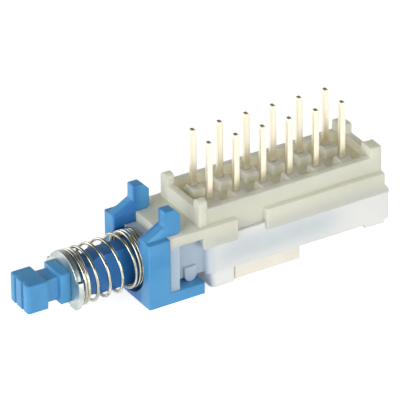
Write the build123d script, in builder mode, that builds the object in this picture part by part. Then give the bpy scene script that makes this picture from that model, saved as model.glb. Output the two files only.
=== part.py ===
# Latching push button switch, four-pole change-over, for a printed board.
#
# Frame: the origin is on the bottom face, under the centre of the terminal grid.
# +X runs from the button to the rear, +Z is up, and the terminals stand up.
# All sizes are in millimetres.
#
# How it goes together: the terminal block carries the terminals and closes the
# case. The slider is one moulding with the plunger and runs in the case with four
# contact clips on its back. The bracket hooks over the front of the block. The
# return spring pushes between the block's nose and a clip on the plunger, and a
# wire pin in the latch cover follows a heart-shaped cam under the slider.

import math
import os

from build123d import *

os.makedirs("parts", exist_ok=True)

# ---------------------------------------------------------------- sizes
# Terminals
pitch = 2.5                # between terminals along a row
row_gap = 2.5              # between the two rows
poles_per_row = 2          # change-over poles in each row, three terminals each
pin_x = 0.50               # terminal section along the row
pin_y = 0.42               # terminal section across the row
pin_tip_z = 12.24          # top of the terminals
pin_round = 0.22           # rounding of the terminal's tip, across its wide side
blade_x = 0.90             # width of the contact blade below the block
blade_y = 0.30             # thickness of the contact blade
blade_tip_z = 3.35         # lower end of the contact blade
tab_x = 1.30               # locating tab inside the block
tab_z = 0.80

# Heights of the mouldings
axis_z = 2.95              # plunger axis
plate_z = 0.98             # top of the bracket's bottom plate
case_z = 1.35              # underside of the case behind its front foot
rear_foot_z = 1.05         # underside of the case's rear foot
case_top_z = 4.50          # top edge of the case's side walls
ledge_z = 4.00             # lower edge of the skirts, and the case's rear ledge
beam_z = 4.98              # underside of the block's front beam
shoulder_z = 5.84          # block's shoulders and top of the bracket's uprights
floor_z = 6.40             # floor of the recess round the terminals
boss_z = 7.15              # top of the terminal bosses
wall_z = 7.25              # top of the wall round the terminals
seat_z = 8.10              # top of the stand-offs, where the board seats

# Terminal block
front_margin = 1.97        # first terminal to the front of the tall section
rear_margin = 2.73         # last terminal to the rear of the tall section
tall_half = 2.95           # half width of the tall section
wall = 0.62                # wall round the terminal recess
beam_length = 3.00         # front beam, from its front face to the tall section
beam_half = 3.45           # half width of the front beam and front wall
front_wall = 0.85          # thickness of the block's front wall
seat_length = 1.10         # spring seat, in front of the front wall
seat_half = 1.84           # half width of the spring seat
seat_top_z = 5.00          # top of the spring seat
skirt_thick = 0.29         # skirts beside the case's side walls
skirt_start = 0.10         # front skirt, behind the tall section's front
front_skirt = 3.17         # length of the front skirt
skirt_split = 2.79         # open stretch between the skirts
lip = 0.40                 # rear lip that lies on the case's rear ledge
lip_edge = 0.23            # upright edge of the lip
lip_slope = 0.60           # height of the lip's sloping top
peg_length = 0.72          # front stand-offs, along the body
peg_width = 0.90           # front stand-offs, across the body
peg_round = 0.38           # rounding of the front stand-offs' tops
peg_proud = 0.08           # front stand-offs, out of the tall section's side
post_length = 1.00         # rear stand-offs, along the body
post_width = 1.45          # rear stand-offs, across the body
boss_x = 1.30              # terminal boss, along the row
boss_y = 1.46              # terminal boss, across the row
boss_shift = 0.36          # the boss stands to one side of its terminal

# Case
case_half = 3.19           # half width outside
case_wall = 0.50           # side and rear walls
case_front_wall = 0.42
case_floor = 0.50
case_lead = 0.62           # case front, behind the tall section's front
ledge_length = 0.75        # rear ledge, behind the tall section
case_round = 0.45          # rounded upright edges
foot_start = 0.38          # front foot, behind the case's front
foot_length = 2.27
rear_foot_length = 1.85
rear_foot_inset = 0.58
guide_gap = 0.17           # guide, behind the block's front wall
guide_half = 2.45          # half width of the guide round the plunger
guide_z = 1.30             # underside of the guide
foot_rib_r = 0.55          # round-ended ribs of the guide, on the bracket's plate
foot_rib_top_z = 2.30
foot_rib_proud = 0.25

# Bracket
bracket_depth = 2.00       # uprights, along the body
bracket_half = 3.53        # half width over the uprights
plate_length = 5.16        # bottom plate, along the body
u_half = 1.90              # half width of the U-shaped opening
spring_bore = 2.66         # radius of the opening round the spring
hook_in = 1.92             # inner face of each hook
hook_out = 2.92            # outer face of each hook
hook_reach = 1.27          # hooks reach this far over the block
hook_back = 0.90           # hook's top, from its rear face to its front face
hook_ramp = 1.01           # top of the hook's ramp, above the uprights
hook_rise = 2.26           # top of the hooks, above the uprights
hook_chamfer = 0.52
hook_round = 0.14          # rounded corners along the hooks' outline

# Plunger and slider
overtravel = 0.50          # stroke beyond the latched place
head_length = 1.87
head_half = 1.47
head_half_z = 1.27
head_round = 0.28
groove_width = 0.34        # two upright grooves in the button's face
groove_depth = 0.16
groove_spacing = 1.15
neck_length = 1.20
neck_half_y = 0.90
neck_half_z = 1.00
collar_half = 1.31         # square collar
collar_front = 0.92        # collar in front of the retainer
collar_back = 1.75         # collar behind the retainer
ramp_length = 0.45         # run-out from the collar up to the blade
blade_half = 0.85          # flat blade through the bracket
blade_low_z = 1.20
blade_high_z = 4.58
stem_high_z = 4.20         # stem behind the blade
blade_stop = 0.15          # blade's end to the case, with the button pressed
slide_gap = 0.08           # running clearance round the slider
slider_high_z = 3.10
slider_end = 0.55          # slider behind the last contact clip

# Retainer clip
retainer_stand = 5.45      # bracket's front face to the clip's rear face
retainer_thick = 0.43
retainer_top_r = 2.40
retainer_low_r = 2.70
retainer_step = 0.86       # steps above the axis
retainer_cut = 1.90        # flat ends below the axis
slot_half = 1.00           # slot that fits the plunger's side grooves
clip_gap = 0.02            # clearance of the clip in its grooves

# Return spring
spring_wire = 0.28
spring_radius = 2.28       # radius of the wire's centre line
closed_pitch = 0.29
front_turns = 2            # closed turns against the retainer
free_turns = 4             # open turns
rear_turns = 4             # closed turns against the block

# Contact clips
contact_over = 1.20        # clip length beyond one pitch
contact_sheet = 0.12
contact_low_z = 2.62
contact_high_z = 4.10
contact_play = 0.05        # between a clip's leaves and the terminal blade

# Latch
wire = 0.50                # latch pin's wire diameter
wire_bend = 0.35           # bend radius of the wire's centre line
groove_play = 0.08         # the pin's play in the cam groove
cam_depth = 0.55           # depth of the heart-shaped groove
pin_reach = 0.47           # the pin's reach into the groove
latch_arm = 3.30           # pivot leg to cam leg
latch_swing = 7.5          # degrees the pin turns over the stroke
pivot_x = 0.30             # pivot leg, from the origin
arm_z = 0.95               # height of the pin's arm
cover_length = 6.13
cover_half = 3.00
cover_floor = 0.35
pocket_half = 0.95         # half width of the pocket in the cover
pocket_end = 0.20          # pocket beyond the latch pin's legs
leaf_sheet = 0.12
leaf_half = 0.60

# Fits and roundings
fit = 0.02                 # between mouldings that are assembled
pin_fit = 0.01             # terminals in the block
edge = 0.12                # small roundings of moulded edges

# ---------------------------------------------------------------- places
row_count = 3 * poles_per_row
span = pitch * (row_count - 1) / 2
travel = pitch + overtravel

body_front = -span - front_margin
body_rear = span + rear_margin
block_face = body_front - beam_length
bracket_face = block_face - bracket_depth
wall_back = block_face + front_wall
seat_face = block_face - seat_length

skirt_half = case_half + fit + skirt_thick
skirt_front = body_front + skirt_start
skirt_gap_front = skirt_front + front_skirt
skirt_gap_rear = skirt_gap_front + skirt_split

case_front = body_front + case_lead
case_rear = body_rear + ledge_length
inner_front = case_front + case_front_wall
inner_rear = case_rear - case_wall
inner_half = case_half - case_wall
inner_floor_z = case_z + case_floor
foot_front = case_front + foot_start
foot_rear = foot_front + foot_length
guide_front = wall_back + guide_gap
guide_mid = (guide_front + case_front) / 2

retainer_rear = bracket_face - retainer_stand
retainer_front = retainer_rear - retainer_thick
collar_start = retainer_front - collar_front
collar_end = retainer_rear + collar_back
neck_start = collar_start - neck_length
head_front = neck_start - head_length
blade_end = case_front - travel - blade_stop

slider_front = inner_front + fit
slider_half = inner_half - slide_gap
slider_low_z = inner_floor_z + slide_gap
contact_length = pitch + contact_over
contact_half = blade_y / 2 + contact_play + contact_sheet
pole_centres = [(3 * pole + 0.5) * pitch - span for pole in range(poles_per_row)]
slider_rear = pole_centres[-1] + contact_length / 2 + slider_end

cam_x = pivot_x - latch_arm
cam_swing = latch_arm * math.sin(math.radians(latch_swing))
groove_wide = wire + 2 * groove_play
pocket_front = cam_x - wire / 2 - pocket_end
pocket_rear = pivot_x + wire / 2 + pocket_end

terminal_spots = [
    (row, number + 1, number * pitch - span, side * row_gap / 2)
    for row, side in (("a", -1), ("b", 1))
    for number in range(row_count)
]


def prism(x, y, z, mode=Mode.ADD):
    """Rectangular prism between two values on each axis, in the open part."""
    with BuildSketch(Plane.XY.offset(z[0])) as base:
        with Locations(((x[0] + x[1]) / 2, (y[0] + y[1]) / 2)):
            Rectangle(x[1] - x[0], y[1] - y[0])
    extrude(base.sketch, amount=z[1] - z[0], mode=mode)


def side_prism(points, y, mode=Mode.ADD):
    """Prism with an outline of (x, z) points, between two values of y."""
    with BuildSketch(Plane.XZ.offset(-y[1])) as base:
        with BuildLine():
            Polyline(*points, close=True)
        make_face()
    extrude(base.sketch, amount=y[1] - y[0], mode=mode)


def front_prism(points, x, mode=Mode.ADD):
    """Prism with an outline of (y, z) points, between two values of x."""
    with BuildSketch(Plane.YZ.offset(x[0])) as base:
        with BuildLine():
            Polyline(*points, close=True)
        make_face()
    extrude(base.sketch, amount=x[1] - x[0], mode=mode)


def both(inner, outer):
    """The same range of y on the near side and on the far side."""
    return [(-outer, -inner), (inner, outer)]


def save(builder, name):
    """Label a finished piece and write it."""
    builder.part.label = name
    export_step(builder.part, f"parts/{name}.step")


# ---------------------------------------------------------------- terminal block
with BuildPart() as terminal_block:
    # Deck over the case, and the tall section above the front beam
    prism((case_front, body_rear), (-tall_half, tall_half), (case_top_z, beam_z))
    prism((body_front, body_rear), (-tall_half, tall_half), (beam_z, wall_z))
    prism((block_face, skirt_front), (-beam_half, beam_half), (beam_z, shoulder_z))
    prism((block_face, wall_back), (-beam_half, beam_half), (plate_z, beam_z))

    # Spring seat, inside the bracket's opening
    seat_low_z = axis_z - math.sqrt((spring_bore - fit) ** 2 - seat_half**2)
    prism((seat_face, block_face), (-seat_half, seat_half), (seat_low_z, seat_top_z))

    # Skirts that lap over the case's side walls
    skirt_outline = [
        (tall_half - edge, shoulder_z),
        (skirt_half, shoulder_z),
        (skirt_half, ledge_z),
        (case_half + fit, ledge_z),
        (case_half + fit, case_top_z),
        (tall_half - edge, case_top_z),
    ]
    for side in (-1, 1):
        outline = [(side * y, z) for y, z in skirt_outline]
        front_prism(outline, (skirt_front, skirt_gap_front))
        front_prism(outline, (skirt_gap_rear, body_rear))

    # Rear lip with a sloping top
    side_prism(
        [
            (body_rear, ledge_z),
            (body_rear + lip, ledge_z),
            (body_rear + lip, ledge_z + lip_edge),
            (body_rear, ledge_z + lip_edge + lip_slope),
        ],
        (-skirt_half, skirt_half),
    )

    # Stand-offs for the board
    for y in both(tall_half - peg_width, tall_half + peg_proud):
        prism((body_front, body_front + peg_length), y, (shoulder_z - edge, seat_z))
    for y in both(tall_half - post_width, tall_half):
        prism((body_rear - post_length, body_rear), y, (wall_z - edge, seat_z))
    tops = terminal_block.faces().filter_by(Axis.Z).filter_by(lambda f: abs(f.center().Z - seat_z) < 1e-4)
    pegs = tops.sort_by(Axis.X)[:2]
    posts = tops.sort_by(Axis.X)[2:]
    fillet(pegs.edges().filter_by(Axis.X), radius=peg_round)
    fillet(posts.edges().filter_by(Axis.X), radius=edge)

    # Recess round the terminals, with a boss beside each terminal
    recess_x = (body_front + wall, body_rear - wall)
    recess_half = tall_half - wall
    prism(recess_x, (-recess_half, recess_half), (floor_z, wall_z), Mode.SUBTRACT)
    with BuildSketch(Plane.XY.offset(floor_z)):
        for _, _, x, y in terminal_spots:
            with Locations((x, y - boss_shift)):
                Rectangle(boss_x, boss_y)
    extrude(amount=boss_z - floor_z, taper=8)

    # Passage for the plunger, open towards the bracket's plate
    passage_half = blade_half + slide_gap
    passage_z = (plate_z, blade_high_z + slide_gap)
    prism((seat_face, wall_back), (-passage_half, passage_half), passage_z, Mode.SUBTRACT)

    # Slots for the terminals and their locating tabs
    with BuildSketch(Plane.XY.offset(case_top_z)):
        for _, _, x, y in terminal_spots:
            with Locations((x, y)):
                Rectangle(pin_x + 2 * pin_fit, pin_y + 2 * pin_fit)
    extrude(amount=boss_z - case_top_z, mode=Mode.SUBTRACT)
    with BuildSketch(Plane.XY.offset(case_top_z)):
        for _, _, x, y in terminal_spots:
            with Locations((x, y)):
                Rectangle(tab_x + 2 * pin_fit, pin_y + 2 * pin_fit)
    extrude(amount=tab_z, mode=Mode.SUBTRACT)
save(terminal_block, "terminal_block")

# ---------------------------------------------------------------- case
with BuildPart() as case:
    prism((case_front, body_rear - fit), (-case_half, case_half), (case_z, case_top_z))
    fillet(case.edges().filter_by(Axis.Z).group_by(Axis.X)[0], radius=case_round)
    prism((body_rear - fit, case_rear), (-case_half, case_half), (case_z, ledge_z))
    fillet(case.edges().filter_by(Axis.Z).group_by(Axis.X)[-1], radius=case_round)

    # Front foot and rear foot
    with BuildSketch(Plane.XY):
        with Locations(((foot_front + foot_rear) / 2, 0)):
            RectangleRounded(foot_length, 2 * case_half, case_round)
    extrude(amount=case_z)
    rear_foot = case_rear - rear_foot_inset
    prism((rear_foot - rear_foot_length, rear_foot), (-case_half, case_half), (rear_foot_z, case_z))

    # Guide round the plunger, with ribs that stand on the bracket's plate
    prism((guide_front, case_front), (-guide_half, guide_half), (guide_z, beam_z - fit))
    rib_low_z = plate_z + foot_rib_r
    with BuildSketch(Plane.XZ.offset(-guide_half - foot_rib_proud)):
        with Locations((guide_mid, rib_low_z)):
            Circle(foot_rib_r)
        with Locations((guide_mid, (rib_low_z + foot_rib_top_z) / 2)):
            Rectangle(2 * foot_rib_r, foot_rib_top_z - rib_low_z)
    extrude(amount=2 * (guide_half + foot_rib_proud))

    # Chamber of the slider, and a sump in the front foot
    prism((inner_front, inner_rear), (-inner_half, inner_half), (inner_floor_z, case_top_z), Mode.SUBTRACT)
    prism(
        (foot_front + case_wall, foot_rear - case_wall),
        (-inner_half, inner_half),
        (case_floor, inner_floor_z),
        Mode.SUBTRACT,
    )

    # Passages for the blade and for the stem
    passage = (-blade_half - slide_gap, blade_half + slide_gap)
    prism((guide_front, case_front), passage, (plate_z, blade_high_z + slide_gap), Mode.SUBTRACT)
    prism((case_front, inner_front), passage, (inner_floor_z, stem_high_z + slide_gap), Mode.SUBTRACT)

    # Pivot hole and swing slot of the latch pin
    with BuildSketch(Plane.XY.offset(case_z)):
        with Locations((pivot_x, 0)):
            Circle(wire / 2 + fit)
        with Locations((cam_x, 0)):
            Rectangle(wire + 4 * groove_play, 2 * cam_swing + wire + 2 * groove_play)
    extrude(amount=case_floor, mode=Mode.SUBTRACT)
save(case, "case")

# ---------------------------------------------------------------- bracket
with BuildPart() as bracket:
    prism((bracket_face, bracket_face + plate_length), (-bracket_half, bracket_half), (0, plate_z))
    prism((bracket_face, block_face), (-bracket_half, bracket_half), (plate_z, shoulder_z))
    fillet(bracket.edges().filter_by(Axis.Z), radius=edge)

    # Opening round the spring: a bore that runs out upwards as a U
    with BuildSketch(Plane.YZ.offset(bracket_face)):
        with Locations((0, axis_z)):
            Circle(spring_bore)
        with Locations((0, (axis_z + shoulder_z) / 2)):
            Rectangle(2 * u_half, shoulder_z - axis_z)
    extrude(amount=bracket_depth, mode=Mode.SUBTRACT)

    # Hooks over the block's front beam
    hook_rear = block_face + hook_reach
    hook_outline = [
        (bracket_face, shoulder_z - edge),
        (bracket_face, shoulder_z),
        (hook_rear - hook_back - hook_chamfer, shoulder_z + hook_ramp),
        (hook_rear - hook_back - hook_chamfer, shoulder_z + hook_rise),
        (hook_rear - hook_chamfer, shoulder_z + hook_rise),
        (hook_rear, shoulder_z + hook_rise - hook_chamfer),
        (hook_rear, shoulder_z + 2 * edge),
        (hook_rear - 2 * edge, shoulder_z),
        (block_face, shoulder_z),
        (block_face, shoulder_z - edge),
    ]
    for y in both(hook_in, hook_out):
        side_prism(hook_outline, y)
    raised = bracket.edges().filter_by(Axis.Y).filter_by(lambda e: e.center().Z > shoulder_z + edge)
    fillet(raised, radius=hook_round)
save(bracket, "bracket")

# ---------------------------------------------------------------- plunger and slider
with BuildPart() as plunger:
    # Button head with rounded edges and two grooves in its face
    prism(
        (head_front, neck_start),
        (-head_half, head_half),
        (axis_z - head_half_z, axis_z + head_half_z),
    )
    fillet(plunger.edges().filter_by(Axis.Z).group_by(Axis.X)[0], radius=head_round)
    fillet(plunger.edges().filter_by(Axis.Z).group_by(Axis.X)[-1], radius=edge)
    fillet(
        plunger.faces().sort_by(Axis.Z)[0].edges() + plunger.faces().sort_by(Axis.Z)[-1].edges(),
        radius=edge,
    )
    with BuildSketch(Plane.YZ.offset(head_front)):
        with Locations((0, axis_z)):
            with GridLocations(groove_spacing, 1, 2, 1):
                Rectangle(groove_width, 2 * head_half_z)
    extrude(amount=groove_depth, mode=Mode.SUBTRACT)

    # Neck and collar
    prism(
        (neck_start, collar_start),
        (-neck_half_y, neck_half_y),
        (axis_z - neck_half_z, axis_z + neck_half_z),
    )
    prism(
        (collar_start, collar_end),
        (-collar_half, collar_half),
        (axis_z - collar_half, axis_z + collar_half),
    )

    # Blade through the bracket, and the stem behind it
    side_prism(
        [
            (collar_end - edge, blade_low_z + ramp_length),
            (collar_end + ramp_length - edge, blade_low_z),
            (blade_end, blade_low_z),
            (blade_end, blade_high_z),
            (collar_end + ramp_length, blade_high_z),
            (collar_end - edge, axis_z + collar_half - edge),
        ],
        (-blade_half, blade_half),
    )
    prism((blade_end, slider_front + case_wall), (-blade_half, blade_half), (slider_low_z, stem_high_z))

    # Slider in the case, with pockets for the contact clips
    prism((slider_front, slider_rear), (-slider_half, slider_half), (slider_low_z, slider_high_z))
    with BuildSketch(Plane.XY.offset(contact_low_z)):
        for x in pole_centres:
            with Locations((x, -row_gap / 2), (x, row_gap / 2)):
                Rectangle(contact_length + 2 * fit, 2 * contact_half + 2 * fit)
    extrude(amount=stem_high_z - contact_low_z, mode=Mode.SUBTRACT)

    # Side grooves for the retainer clip
    for y in both(slot_half - clip_gap, collar_half + edge):
        prism(
            (retainer_front - clip_gap, retainer_rear + clip_gap),
            y,
            (axis_z - collar_half, axis_z + collar_half),
            Mode.SUBTRACT,
        )

    # Heart-shaped cam groove: an outward lane, the latching notch and a return lane
    latched_x = cam_x - pitch
    cam_points = [
        (cam_x, 0),
        (cam_x - travel, cam_swing),
        (latched_x, 0),
        (cam_x - travel, -cam_swing),
        (cam_x, 0),
    ]
    with BuildSketch(Plane.XY.offset(slider_low_z)):
        for (x0, y0), (x1, y1) in zip(cam_points, cam_points[1:]):
            length = math.hypot(x1 - x0, y1 - y0)
            angle = math.degrees(math.atan2(y1 - y0, x1 - x0))
            with Locations(Location(((x0 + x1) / 2, (y0 + y1) / 2, 0), (0, 0, angle))):
                SlotCenterToCenter(length, groove_wide)
    extrude(amount=cam_depth, mode=Mode.SUBTRACT)
save(plunger, "plunger")

# ---------------------------------------------------------------- retainer clip
with BuildPart() as retainer:
    with BuildSketch(Plane.YZ.offset(retainer_front)):
        with Locations((0, axis_z)):
            Circle(retainer_low_r)
        top_z = axis_z + retainer_step
        with Locations((0, (top_z + axis_z + retainer_low_r) / 2)):
            Rectangle(2 * retainer_low_r, axis_z + retainer_low_r - top_z, mode=Mode.SUBTRACT)
        with Locations((0, axis_z)):
            Circle(retainer_top_r)
        with Locations((0, axis_z - (retainer_cut + retainer_low_r) / 2)):
            Rectangle(2 * retainer_low_r, retainer_low_r - retainer_cut, mode=Mode.SUBTRACT)
        slot_top = collar_half + clip_gap
        with Locations((0, axis_z + (slot_top - retainer_low_r) / 2)):
            Rectangle(2 * slot_half, slot_top + retainer_low_r, mode=Mode.SUBTRACT)
    extrude(amount=retainer_thick)
    fillet(retainer.faces().sort_by(Axis.X)[0].outer_wire().edges(), radius=0.5 * edge)
save(retainer, "retainer")

# ---------------------------------------------------------------- return spring
spring_start = retainer_rear + spring_wire / 2
spring_end = seat_face - spring_wire / 2
closed_length = closed_pitch * (front_turns + rear_turns)
open_pitch = (spring_end - spring_start - closed_length) / free_turns
stretches = [(closed_pitch, front_turns), (open_pitch, free_turns), (closed_pitch, rear_turns)]
with BuildPart() as return_spring:
    at = spring_start
    for coil_pitch, turns in stretches:
        length = coil_pitch * turns
        with BuildLine():
            coil = Helix(coil_pitch, length, spring_radius, center=(at, 0, axis_z), direction=(1, 0, 0))
        with BuildSketch(Plane(origin=coil @ 0, z_dir=coil % 0)):
            Circle(spring_wire / 2)
        sweep(path=coil, is_frenet=True)
        at += length
        if at < spring_end - spring_wire / 2:
            with Locations(coil @ 1):
                Sphere(spring_wire / 2)
save(return_spring, "return_spring")

# ---------------------------------------------------------------- terminals
for row, number, x, y in terminal_spots:
    with BuildPart() as terminal:
        with BuildSketch(Plane.XY.offset(case_top_z)):
            with Locations((x, y)):
                Rectangle(pin_x, pin_y)
        extrude(amount=pin_tip_z - case_top_z)
        fillet(terminal.faces().sort_by(Axis.Z)[-1].edges().filter_by(Axis.Y), radius=pin_round)
        with BuildSketch(Plane.XY.offset(case_top_z)):
            with Locations((x, y)):
                Rectangle(tab_x, pin_y)
        extrude(amount=tab_z - fit)
        with BuildSketch(Plane.XY.offset(blade_tip_z)):
            with Locations((x, y)):
                Rectangle(blade_x, blade_y)
        extrude(amount=case_top_z - blade_tip_z)
        chamfer(terminal.faces().sort_by(Axis.Z)[0].edges().filter_by(Axis.X), length=blade_y / 4)
    save(terminal, f"terminal_{row}{number}")

# ---------------------------------------------------------------- contact clips
for row, side in (("a", -1), ("b", 1)):
    for pole, x in enumerate(pole_centres):
        with BuildPart() as contact:
            x_range = (x - contact_length / 2, x + contact_length / 2)
            mid = side * row_gap / 2
            prism(x_range, (mid - contact_half, mid + contact_half), (contact_low_z, contact_high_z))
            gap = contact_half - contact_sheet
            prism(
                x_range,
                (mid - gap, mid + gap),
                (contact_low_z + contact_sheet, contact_high_z),
                Mode.SUBTRACT,
            )
            # The leaves are cut back between the two springy ends
            prism(
                (x - contact_length / 6, x + contact_length / 6),
                (mid - contact_half, mid + contact_half),
                (slider_high_z + fit, contact_high_z),
                Mode.SUBTRACT,
            )
        save(contact, f"contact_{row}{pole + 1}")

# ---------------------------------------------------------------- latch pin
with BuildPart() as latch_pin:
    with BuildLine() as route:
        FilletPolyline(
            (cam_x, 0, slider_low_z + pin_reach),
            (cam_x, 0, arm_z),
            (pivot_x, 0, arm_z),
            (pivot_x, 0, inner_floor_z - fit),
            radius=wire_bend,
        )
    with BuildSketch(Plane(origin=route.line @ 0, z_dir=route.line % 0)):
        Circle(wire / 2)
    sweep(path=route.line)
save(latch_pin, "latch_pin")

# ---------------------------------------------------------------- latch cover
with BuildPart() as latch_cover:
    cover_front = foot_rear + fit
    prism((cover_front, cover_front + cover_length), (-cover_half, cover_half), (0, case_z))
    fillet(latch_cover.edges().filter_by(Axis.Z), radius=edge)
    fillet(latch_cover.faces().sort_by(Axis.Z)[0].edges(), radius=edge)
    prism((pocket_front, pocket_rear), (-pocket_half, pocket_half), (cover_floor, case_z), Mode.SUBTRACT)
save(latch_cover, "latch_cover")

# ---------------------------------------------------------------- latch leaf
# A bowed leaf that lies in the pocket and holds the pin up in its groove
leaf_top_z = arm_z - wire / 2 - fit
leaf_low_z = cover_floor + leaf_sheet
leaf_mid = (pocket_front + pocket_rear) / 2
with BuildPart() as latch_leaf:
    with BuildSketch(Plane.XZ.offset(-leaf_half)):
        with BuildLine():
            upper = ThreePointArc(
                (pocket_front + fit, leaf_low_z),
                (leaf_mid, leaf_top_z),
                (pocket_rear - fit, leaf_low_z),
            )
            lower = ThreePointArc(
                (pocket_front + fit, cover_floor),
                (leaf_mid, leaf_top_z - leaf_sheet),
                (pocket_rear - fit, cover_floor),
            )
            Line(upper @ 0, lower @ 0)
            Line(upper @ 1, lower @ 1)
        make_face()
    extrude(amount=2 * leaf_half)
save(latch_leaf, "latch_leaf")

print("stroke", travel, "spring pitch", round(open_pitch, 3), "cam swing", round(cam_swing, 3))
print("pin pivot", round(pivot_x, 3), "latched at", pitch)
print("rear", round(case_rear, 3), "front", round(head_front, 3))
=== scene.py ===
# %% [markdown]
# # A latching push button switch, dressed for the camera
#
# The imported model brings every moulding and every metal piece, already in place and
# in metres. This lesson gives each one its finish, bevels the terminals' edges, winds a
# proper return spring, and sets up the floor, the lamps and the camera. The origin is
# under the centre of the terminal grid, +X runs from the button to the rear and +Z up.

# %% Load the model
import math

import bmesh
import bpy
from mathutils import Matrix, Vector


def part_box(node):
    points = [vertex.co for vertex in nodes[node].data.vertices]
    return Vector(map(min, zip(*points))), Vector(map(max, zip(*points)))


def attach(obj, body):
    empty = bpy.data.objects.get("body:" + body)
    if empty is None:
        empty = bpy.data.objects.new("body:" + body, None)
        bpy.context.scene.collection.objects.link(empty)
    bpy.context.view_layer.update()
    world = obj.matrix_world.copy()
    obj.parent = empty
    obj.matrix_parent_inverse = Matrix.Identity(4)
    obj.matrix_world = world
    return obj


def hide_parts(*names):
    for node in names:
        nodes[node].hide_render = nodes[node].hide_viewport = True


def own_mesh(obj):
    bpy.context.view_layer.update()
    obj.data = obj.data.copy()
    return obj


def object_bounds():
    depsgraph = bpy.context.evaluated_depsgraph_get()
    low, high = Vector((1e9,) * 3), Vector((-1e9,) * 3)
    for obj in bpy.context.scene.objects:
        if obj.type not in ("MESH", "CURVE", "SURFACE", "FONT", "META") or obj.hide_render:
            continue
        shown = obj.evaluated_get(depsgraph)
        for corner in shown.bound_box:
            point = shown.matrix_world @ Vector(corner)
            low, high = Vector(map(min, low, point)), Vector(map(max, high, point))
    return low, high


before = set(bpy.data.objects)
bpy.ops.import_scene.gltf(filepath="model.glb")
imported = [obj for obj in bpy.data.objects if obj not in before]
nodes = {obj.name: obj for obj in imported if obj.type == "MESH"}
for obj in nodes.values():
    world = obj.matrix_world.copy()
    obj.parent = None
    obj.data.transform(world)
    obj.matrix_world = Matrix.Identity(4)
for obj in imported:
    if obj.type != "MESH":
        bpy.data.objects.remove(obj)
cad_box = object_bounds()
MM = 0.001
print("nodes", len(nodes), "box", [round(v * 1000, 2) for corner in cad_box for v in corner])

# %% [markdown]
# ## The camera
#
# Small parts are usually shot from far away with a long lens, so that parallel rows
# stay nearly parallel. A camera is easiest to place by three angles round a point:
# how far it has gone round the object, how high it stands, and how much it leans.
# The point is the top of the terminals, because the grid there is easy to line up.

# %% Camera
turn = math.radians(-30.81)
height = math.radians(30.03)
lean = math.radians(-0.654)
lens = 450.3
distance = 0.400
aim = Vector((0, 0, 12.14 * MM))
shift = (-5.389 * MM, -6.718 * MM)

back = Vector((math.sin(turn) * math.cos(height), -math.cos(turn) * math.cos(height), math.sin(height)))
level = Vector((math.cos(turn), math.sin(turn), 0))
rise = back.cross(level)
right = level * math.cos(lean) + rise * math.sin(lean)
up = rise * math.cos(lean) - level * math.sin(lean)
place = Matrix.Translation(aim + right * shift[0] + up * shift[1] + back * distance)

camera = bpy.data.objects.new("camera", bpy.data.cameras.new("camera"))
bpy.context.scene.collection.objects.link(camera)
camera.matrix_world = place @ Matrix((right, up, back)).transposed().to_4x4()
camera.data.lens = lens
camera.data.sensor_width = 36
camera.data.clip_start, camera.data.clip_end = 0.01, 20
bpy.context.scene.camera = camera
print("camera at", [round(v, 4) for v in camera.matrix_world.translation])

# %% [markdown]
# ## Writing shaders as sums
#
# A material is a graph of nodes, but most of a graph is plain arithmetic. This class
# holds one output of a node, and its operators add the Math nodes, so a mask can be
# written as 1 - edge * 0.5. Everything else, such as a noise or a mix of colours, comes
# from one method, `make`, which sets a node's options first and then fills its sockets.


# %% A socket that does sums
class Signal:
    """One output of a node, which takes Python's arithmetic."""

    def __init__(self, tree, socket=None):
        self.tree = tree
        self.socket = socket

    def make(self, kind, settings=None, sockets=None, out=0):
        node = self.tree.nodes.new(kind)
        for key, value in (settings or {}).items():
            setattr(node, key, value)
        for key, value in (sockets or {}).items():
            if isinstance(value, Signal):
                self.tree.links.new(value.socket, node.inputs[key])
            else:
                node.inputs[key].default_value = value
        return Signal(self.tree, node.outputs[out]) if node.outputs else None

    def sum(self, operation, first, second=0.0):
        return self.make("ShaderNodeMath", {"operation": operation}, {0: first, 1: second})

    def __add__(self, other):
        return self.sum("ADD", self, other)

    def __sub__(self, other):
        return self.sum("SUBTRACT", self, other)

    def __rsub__(self, other):
        return self.sum("SUBTRACT", other, self)

    def __mul__(self, other):
        return self.sum("MULTIPLY", self, other)

    def __pow__(self, other):
        return self.sum("POWER", self, other)

    def __abs__(self):
        return self.sum("ABSOLUTE", self)

    __radd__ = __add__
    __rmul__ = __mul__

    def step(self, low, high):
        """0 up to low, 1 from high, and a smooth climb between them."""
        return self.make(
            "ShaderNodeMapRange",
            {"interpolation_type": "SMOOTHSTEP"},
            {"Value": self, "From Min": low, "From Max": high},
        )

    def within(self, low, high, soft):
        """1 between low and high, with soft edges."""
        return self.step(low - soft, low + soft) * (1 - self.step(high - soft, high + soft))

    def mix(self, first, second):
        """first where this is 0, second where it is 1, for colours."""
        return self.make(
            "ShaderNodeMix",
            {"data_type": "RGBA"},
            {"Factor": self, 6: first, 7: second},
            out=2,
        )


def srgb(red, green, blue):
    """A colour given as it looks, 0 to 255, as the linear value that a socket takes."""
    levels = [v / 255 for v in (red, green, blue)]
    return (*[v / 12.92 if v <= 0.04045 else ((v + 0.055) / 1.055) ** 2.4 for v in levels], 1)


print("middle grey is", [round(v, 3) for v in srgb(128, 128, 128)])


# %% [markdown]
# ## One start for every finish
#
# Every material begins in the same way, with the object's own coordinates turned into
# millimetres, and ends in the same way, with a Principled shader. Object coordinates
# stay with the piece when it moves. Between the two comes a noise, for the faint
# unevenness of plastics and metals. The Bevel node bends the normals beside an edge,
# which makes a sharp edge catch the light like the small round of a real moulding.


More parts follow.
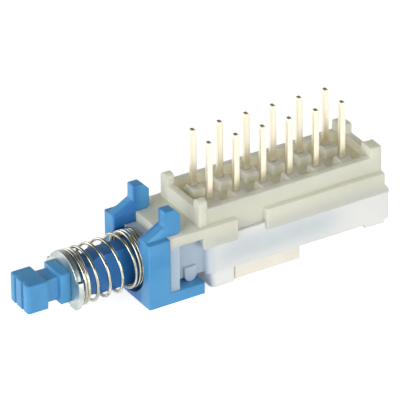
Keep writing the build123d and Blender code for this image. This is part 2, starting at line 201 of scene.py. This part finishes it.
# %% Start and close a material
def start(name):
    """A new material, its millimetre coordinates x, y, z, and a point for textures."""
    material = bpy.data.materials.new(name)
    material.use_nodes = True
    tree = material.node_tree
    tree.nodes.clear()
    first = Signal(tree)
    place = first.make("ShaderNodeTexCoord", out=3)
    point = first.make("ShaderNodeVectorMath", {"operation": "SCALE"}, {0: place, "Scale": 1000.0})
    split = first.make("ShaderNodeSeparateXYZ", {}, {0: point})
    x, y, z = [Signal(tree, out) for out in split.socket.node.outputs]
    return material, point, x, y, z


def noise(point, scale, detail=3.0):
    """A soft noise, scale features to the millimetre."""
    return point.make("ShaderNodeTexNoise", {}, {"Vector": point, "Scale": scale, "Detail": detail})


def close(point, sockets, relief, strength=0.1, depth=0.02, edge=0.0):
    """Ends a material in a Principled shader, with a relief and soft edges in millimetres."""
    bump = {"Strength": strength, "Distance": depth * MM, "Height": relief}
    if edge:
        bump["Normal"] = point.make("ShaderNodeBevel", {"samples": 6}, {"Radius": edge * MM})
    sockets["Normal"] = point.make("ShaderNodeBump", {}, bump)
    shader = point.make("ShaderNodeBsdfPrincipled", {}, sockets)
    point.make("ShaderNodeOutputMaterial", {}, {"Surface": shader})
    print("closed a material of", len(point.tree.nodes), "nodes")


print("one millimetre is", MM, "m")


# %% [markdown]
# ## Blue moulding
#
# The plunger and the bracket are moulded in the same blue. The plastic is semi-gloss
# and lets a little light in, so its edges look lighter than its middle. Subsurface
# scattering gives that, and a faint noise keeps the gloss from looking like glass. The
# stem inside the coil gets less light, and a mask paints that shade into its colour there.

# %% Blue plastic
blue, point, x, y, z = start("blue_plastic")
cloud = noise(point, 0.35, 2.0)
grain = noise(point, 9.0, 4.0)
tone = cloud.step(0.3, 0.7)
stem_front, stem_rear, stem_side = -18.0, -11.0, 2.2
# painted shade: the stem inside the coil is deepened to a darker blue
painted_stem_shade = x.within(stem_front, stem_rear, 0.5) * (1 - abs(y).step(stem_side - 0.2, stem_side + 0.2))
outer = tone.mix(srgb(68, 150, 206), srgb(84, 162, 214))
close(
    point,
    {
        # the darker blue here is the painted shade of the stem inside the coil
        "Base Color": (painted_stem_shade * 0.7).mix(outer, srgb(34, 112, 194)),
        "Roughness": grain * 0.14 + 0.30,
        "Subsurface Weight": 0.25,
        "Subsurface Radius": (0.2, 0.6, 1.0),
        "Subsurface Scale": 0.5 * MM,
        "IOR": 1.5,
    },
    relief=grain,
    strength=0.12,
    edge=0.18,
)

# %% [markdown]
# ## Cream moulding
#
# The terminal block is cream and milky. Deep in the recess a painted glow, paler and
# yellower, stands for the light that reaches the plastic through the walls; a mask on
# the height above the recess floor places it. The thin wall beside the bracket gets a
# painted blue cast of the bracket, which is a second mask on its place along the body.

# %% Cream plastic
cream, point, x, y, z = start("cream_plastic")
cloud = noise(point, 0.5, 3.0)
grain = noise(point, 7.0, 4.0)
recess_middle, recess_half, recess_floor, recess_rim = 0.38, 7.95, 6.3, 7.3
outside = abs(x - recess_middle).step(recess_half - 0.35, recess_half + 0.35)
low_down = (1 - z.step(recess_floor, recess_rim)) * z.step(recess_floor - 0.1, recess_floor + 0.05)
# painted glow: paler, yellower colour deep in the recess, for light through the walls
depth = low_down * (1 - outside) * (1 - abs(y).step(2.2, 2.6))
# painted blue cast of the bracket on the thin wall beside it
front = (1 - x.step(-10.6, -10.2)) * (1 - z.step(4.6, 5.4))
pale = cloud.mix(srgb(227, 227, 211), srgb(220, 219, 200))
plain = (depth * 0.8).mix(pale, srgb(246, 240, 214))
close(
    point,
    {
        # the blue here is the painted cast of the bracket, not the cream's own colour
        "Base Color": (front * 0.85).mix(plain, srgb(170, 198, 222)),
        "Roughness": grain * 0.15 + 0.42,
        "Subsurface Weight": 0.6,
        "Subsurface Radius": (1.0, 0.9, 0.65),
        "Subsurface Scale": 1.8 * MM,
    },
    relief=grain,
    strength=0.1,
    edge=0.12,
)

# %% [markdown]
# ## Milky case
#
# The case is nearly clear. Its walls are thin, so the blue slider inside shows through
# as a cool haze, strongest at half height, and its guide round the plunger looks bluer
# still. Real transparency would need many light paths, so the haze is a colour mask,
# which also bakes with the rest.

# %% Milky plastic
milky, point, x, y, z = start("milky_plastic")
cloud = noise(point, 0.4, 2.0)
grain = noise(point, 6.0, 3.0)
guide_end = -6.6
slider_front, slider_rear, slider_low, slider_high = -7.0, 4.5, 1.7, 4.0
guide = 1 - x.step(guide_end - 1.5, guide_end)
slider = x.within(slider_front, slider_rear, 2.2) * z.within(slider_low, slider_high, 1.0)
haze = slider * (cloud * 0.4 + 0.5)
tinted = haze.mix(srgb(242, 243, 239), srgb(202, 213, 219))
close(
    point,
    {
        "Base Color": (guide * 0.85).mix(tinted, srgb(170, 190, 210)),
        "Roughness": grain * 0.12 + 0.30,
        "Subsurface Weight": 0.3,
        "Subsurface Radius": (1.0, 1.0, 1.0),
        "Subsurface Scale": 0.6 * MM,
    },
    relief=grain,
    strength=0.08,
    edge=0.12,
)

# %% [markdown]
# ## Warm white cover
#
# The cover of the latch is a separate moulding under the case, in a warmer white.

# %% Warm white plastic
warm, point, x, y, z = start("warm_white_plastic")
cloud = noise(point, 0.6, 3.0)
grain = noise(point, 7.0, 4.0)
close(
    point,
    {
        "Base Color": cloud.mix(srgb(246, 242, 232), srgb(238, 230, 214)),
        "Roughness": grain * 0.12 + 0.42,
        "Subsurface Weight": 0.3,
        "Subsurface Radius": (1.0, 0.9, 0.7),
        "Subsurface Scale": 0.8 * MM,
    },
    relief=grain,
    strength=0.08,
    edge=0.12,
)

# %% [markdown]
# ## Plated terminals
#
# The terminals are stamped brass strip with a pale plating. Where the strip was cut
# off, at the tip, the bare end is dark. Near the block a painted reflection of the
# plastic turns the metal olive. Fine lines along the strip come from a noise stretched along Z.

# %% Plated metal
plated, point, x, y, z = start("plated_metal")
stretched = point.make("ShaderNodeVectorMath", {"operation": "MULTIPLY"}, {0: point, 1: (12.0, 12.0, 0.5)})
lines = noise(stretched, 1.0, 3.0)
spots = noise(point, 3.0, 4.0).step(0.62, 0.74)
cut_end, root_low, root_high = 12.14, 6.6, 9.4
tip = z.step(cut_end, cut_end + 0.08)
# painted reflection: the block's plastic mirrored as olive on the metal near the block
reflection_near_block = 1 - z.step(root_low, root_high)
plain = (lines * 0.5 + spots * 0.3).mix(srgb(252, 246, 228), srgb(236, 222, 190))
painted_olive_reflection = (reflection_near_block * 0.5).mix(plain, srgb(196, 186, 152))
close(
    point,
    {
        "Base Color": tip.mix(painted_olive_reflection, srgb(168, 158, 136)),
        "Metallic": 1.0 - tip * 0.5,
        "Roughness": lines * 0.15 + 0.26 + tip * 0.2,
    },
    relief=lines,
    strength=0.15,
    depth=0.01,
    edge=0.05,
)

# %% [markdown]
# ## Stamped and ground steel
#
# The retainer is stamped from sheet and tumbled, so it is grey and even. The latch's pin
# is bright, its leaf is darker, and the contact clips are plated. All four are the same
# graph with other colours and gloss, so one function makes them.


# %% Steel finishes
def steel(name, light, dark, rough, scale):
    """Bare steel in two tones that a noise blends."""
    material, point, x, y, z = start(name)
    tone = noise(point, scale, 2.0)
    fine = noise(point, scale * 12, 2.0)
    close(
        point,
        {
            "Base Color": tone.step(0.35, 0.65).mix(srgb(*light), srgb(*dark)),
            "Metallic": 1.0,
            "Roughness": fine * 0.10 + rough,
        },
        relief=fine,
        strength=0.08,
        depth=0.01,
        edge=0.04,
    )
    return material


bright = steel("bright_steel", (226, 220, 208), (196, 186, 172), 0.12, 0.7)
sheet = steel("stamped_steel", (214, 220, 216), (190, 198, 194), 0.34, 0.8)
spring_sheet = steel("leaf_steel", (200, 198, 190), (160, 156, 146), 0.22, 2.0)
contact_metal = steel("contact_plating", (236, 226, 200), (214, 200, 166), 0.25, 2.0)

# %% [markdown]
# ## Drawn wire
#
# Wire is pulled through a die, which leaves lines along it, and a painted shade darkens
# the inside of the turns to brown. Lines that follow a coil
# need coordinates that follow it too: the distance from the coil's axis, the place
# along the axis, and the angle, which is scaled down so that the noise is stretched.

# %% Wire of the spring
low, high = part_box("return_spring")
axis_z = (low.z + high.z) / 2
wire_r = 0.14 * MM
coil_r = (high.z - low.z) / 2 - wire_r
wire, point, x, y, z = start("spring_wire")
rise_z = z - axis_z / MM
reach = (y * y + rise_z * rise_z) ** 0.5
angle = point.make("ShaderNodeMath", {"operation": "ARCTAN2"}, {0: rise_z, 1: y})
along = point.make("ShaderNodeCombineXYZ", {}, {"X": x * 14.0, "Y": reach * 14.0, "Z": angle * 0.7})
lines = noise(along, 1.0, 2.0)
# painted shade: the inside of the turns, nearer the axis, is darkened to brown
painted_inner_shade = 1 - reach.step(coil_r / MM - 0.12, coil_r / MM + 0.06)
drawn = lines.step(0.35, 0.65).mix(srgb(228, 227, 214), srgb(154, 150, 130))
close(
    point,
    {
        "Base Color": (painted_inner_shade * 0.65).mix(drawn, srgb(98, 92, 72)),
        "Metallic": 1.0,
        "Roughness": lines * 0.16 + 0.10,
    },
    relief=lines,
    strength=0.35,
    depth=0.01,
)
print("coil radius", round(coil_r / MM, 3), "mm, axis at", round(axis_z / MM, 3), "mm")

# %% [markdown]
# ## Edges of the mouldings
#
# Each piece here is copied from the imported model, its loose triangles are merged and
# joined back into flat faces, and then its sharp edges are bevelled. The copy stands
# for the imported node, and rides on the same body. The whole bevel is held to the width
# at which its first two edges would cross. The mouldings and the retainer have very
# short edges, so almost nothing is left of it there, and the soft edge that shows on
# the mouldings is the Bevel node of their materials. On the terminals it is a real one.


# %% Bevel a moulding
def soften(node, body, name, material, radius, sharp=35, segments=3):
    """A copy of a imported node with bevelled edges, which stands for it."""
    bm = bmesh.new()
    bm.from_mesh(nodes[node].data)
    bmesh.ops.remove_doubles(bm, verts=bm.verts, dist=0.002 * MM)
    flat = math.radians(0.5)
    bmesh.ops.dissolve_limit(bm, angle_limit=flat, verts=bm.verts, edges=bm.edges, delimit=set())
    steep = math.radians(sharp)
    edges = [e for e in bm.edges if e.is_manifold and e.calc_face_angle(0) > steep]
    edges = [e for e in edges if e.calc_length() > 0.5 * radius]
    bmesh.ops.bevel(
        bm,
        geom=edges,
        offset=radius,
        offset_type="OFFSET",
        affect="EDGES",
        segments=segments,
        profile=0.5,
        material=-1,
        clamp_overlap=True,
    )
    mesh = bpy.data.meshes.new(name)
    bm.to_mesh(mesh)
    bm.free()
    piece = bpy.data.objects.new(name, mesh)
    bpy.context.scene.collection.objects.link(piece)
    mesh.materials.append(material)
    mesh.shade_smooth()
    mesh.set_sharp_from_angle(angle=math.radians(40))
    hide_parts(node)
    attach(piece, body)
    print(name, len(mesh.polygons), "faces")


soften("bracket", "housing", "bracket_moulding", blue, 0.15 * MM)
soften("plunger", "plunger", "plunger_moulding", blue, 0.08 * MM)
soften("terminal_block", "housing", "block_moulding", cream, 0.12 * MM)
soften("case", "housing", "case_moulding", milky, 0.08 * MM)
soften("latch_cover", "housing", "cover_moulding", warm, 0.08 * MM)

# %% [markdown]
# ## The retainer and the terminals
#
# Stamped metal has a rounded edge from the punch, so these pieces go through the same
# function. The round is there on the terminals, and hardly at all on the retainer.

# %% Bevel the stampings
soften("retainer", "plunger", "retainer_ring", sheet, 0.04 * MM)
for name in sorted(nodes):
    if name.startswith("terminal_") and name != "terminal_block":
        soften(name, "housing", "pin_" + name[-2:], plated, 0.05 * MM)

# %% [markdown]
# ## The return spring
#
# A compression spring has closed turns at both ends and open turns between. A spin with
# a small push along the axis draws a turn, and each turn gets its own push, so the
# pitch can change from turn to turn. A real coil also sits a little askew between its
# seats, so its axis is lifted steadily towards the bracket.

# %% Wind the coil
pitches = [0.28, 0.28, 0.78, 1.10, 1.15, 1.30, 0.37, 0.26, 0.28, 0.27]
scale = (high.x - low.x - 2 * wire_r) / sum(pitches)
steps = 28
sag = -0.05 * MM
lift = 0.20 * MM
length = high.x - low.x

bm = bmesh.new()
section = bmesh.ops.create_circle(bm, segments=12, radius=wire_r)["verts"]
bmesh.ops.rotate(bm, verts=section, cent=(0, 0, 0), matrix=Matrix.Rotation(math.pi, 3, "X"))
bmesh.ops.translate(bm, verts=section, vec=(low.x + wire_r, -coil_r, axis_z))
ring = list(bm.verts) + list(bm.edges)
ends = [list(bm.edges)]
for pitch in pitches:
    turned = bmesh.ops.spin(
        bm,
        geom=ring,
        cent=(0, 0, axis_z),
        axis=(1, 0, 0),
        dvec=(pitch * scale / steps, 0, 0),
        angle=2 * math.pi,
        steps=steps,
        use_merge=False,
        use_duplicate=False,
    )
    ring = turned["geom_last"]
ends.append([e for e in ring if isinstance(e, bmesh.types.BMEdge)])
for loop in ends:
    bmesh.ops.contextual_create(bm, geom=loop)
bmesh.ops.remove_doubles(bm, verts=bm.verts, dist=0.0005 * MM)
for vert in bm.verts:
    vert.co.z += sag + lift * (vert.co.x - low.x) / length
bmesh.ops.recalc_face_normals(bm, faces=bm.faces)
mesh = bpy.data.meshes.new("return_coil")
bm.to_mesh(mesh)
bm.free()
coil = bpy.data.objects.new("return_coil", mesh)
bpy.context.scene.collection.objects.link(coil)
mesh.materials.append(wire)
mesh.shade_smooth()
mesh.set_sharp_from_angle(angle=math.radians(50))
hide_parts("return_spring")
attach(coil, "housing")
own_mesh(coil)

# %% [markdown]
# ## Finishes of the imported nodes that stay
#
# The contact clips and the latch's pin and leaf are inside, and already have their true
# shape, so they only get their metals.

# %% Assign the metals
metals = {"contact_": contact_metal, "latch_pin": bright, "latch_leaf": spring_sheet}
for name, node in nodes.items():
    for key, material in metals.items():
        if name.startswith(key):
            node.data.materials.clear()
            node.data.materials.append(material)
            print(name, "gets", material.name)

# %% [markdown]
# ## Floor
#
# The floor is a plain pale plane. It shines a little to the camera, to mirrors and
# through glass only, so the background is white without any more light on the switch,
# and the plane still takes the soft shadow.

# %% Floor
floor_mesh = bpy.data.meshes.new("floor")
bm = bmesh.new()
bmesh.ops.create_grid(bm, x_segments=1, y_segments=1, size=4)
bm.to_mesh(floor_mesh)
bm.free()
floor = bpy.data.objects.new("floor", floor_mesh)
bpy.context.scene.collection.objects.link(floor)
material, point, x, y, z = start("floor_paper")
path = point.make("ShaderNodeLightPath")
camera_ray = Signal(point.tree, path.socket.node.outputs["Is Camera Ray"])
mirror_ray = Signal(point.tree, path.socket.node.outputs["Is Glossy Ray"])
clear_ray = Signal(point.tree, path.socket.node.outputs["Is Transmission Ray"])
seen = (camera_ray + mirror_ray + clear_ray).step(0.0, 1.0)
paper = point.make("ShaderNodeBsdfDiffuse", {}, {"Color": (0.86, 0.86, 0.86, 1)})
glow = point.make("ShaderNodeEmission", {}, {"Color": (1, 1, 1, 1), "Strength": seen * 0.68})
surface = point.make("ShaderNodeAddShader", {}, {0: paper, 1: glow})
point.make("ShaderNodeOutputMaterial", {}, {"Surface": surface})
floor_mesh.materials.append(material)
print("floor", [round(v, 2) for v in floor.dimensions])

# %% [markdown]
# ## World
#
# The sky lights the switch from all sides, and is darker overhead, so that the sides
# are brighter than the tops and the metal has something dark to mirror. To the camera
# it is plain white.

# %% World
world = bpy.data.worlds.new("studio")
bpy.context.scene.world = world
world.use_nodes = True
world.node_tree.nodes.clear()
sky = Signal(world.node_tree)
direction = sky.make("ShaderNodeTexCoord", out=0)
split = sky.make("ShaderNodeSeparateXYZ", {}, {0: direction})
overhead = Signal(sky.tree, split.socket.node.outputs[2]).step(0.08, 0.65)
path = sky.make("ShaderNodeLightPath")
camera_ray = Signal(sky.tree, path.socket.node.outputs["Is Camera Ray"])
level = 0.92 - overhead * 0.82
strength = level + camera_ray * (1 - level)
background = sky.make("ShaderNodeBackground", {}, {"Color": (1, 1, 1, 1), "Strength": strength})
sky.make("ShaderNodeOutputWorld", {}, {"Surface": background})
print("world", len(sky.tree.nodes), "nodes")

# %% [markdown]
# ## Lamps
#
# Four square lamps stand low round the switch, and are wide for their distance, so their
# shadows are soft. The two in front are strong and the two behind only fill.


# %% Lamps
def lamp(name, azimuth, elevation, size, power, far=0.35):
    """A square soft lamp that looks at the middle of the switch."""
    data = bpy.data.lights.new(name, "AREA")
    data.shape = "SQUARE"
    data.size = size
    data.energy = power
    light = bpy.data.objects.new(name, data)
    bpy.context.scene.collection.objects.link(light)
    a, e = math.radians(azimuth), math.radians(elevation)
    away = Vector((math.sin(a) * math.cos(e), -math.cos(a) * math.cos(e), math.sin(e)))
    middle = (cad_box[0] + cad_box[1]) / 2
    light.location = middle + away * far
    light.rotation_mode = "QUATERNION"
    light.rotation_quaternion = (-away).to_track_quat("-Z", "Y")
    print("lamp", name, "at", [round(v, 2) for v in light.location])


lamp("front_left", -72, 15, 0.30, 0.90)
lamp("front_right", 12, 11, 0.28, 0.58)
lamp("behind_left", -145, 11, 0.30, 0.34)
lamp("behind_right", 100, 11, 0.28, 0.22)

# %% [markdown]
# ## Last look
#
# The Standard view shows colours as they are written.

# %% Finish
scene = bpy.context.scene
scene.view_settings.view_transform = "Standard"
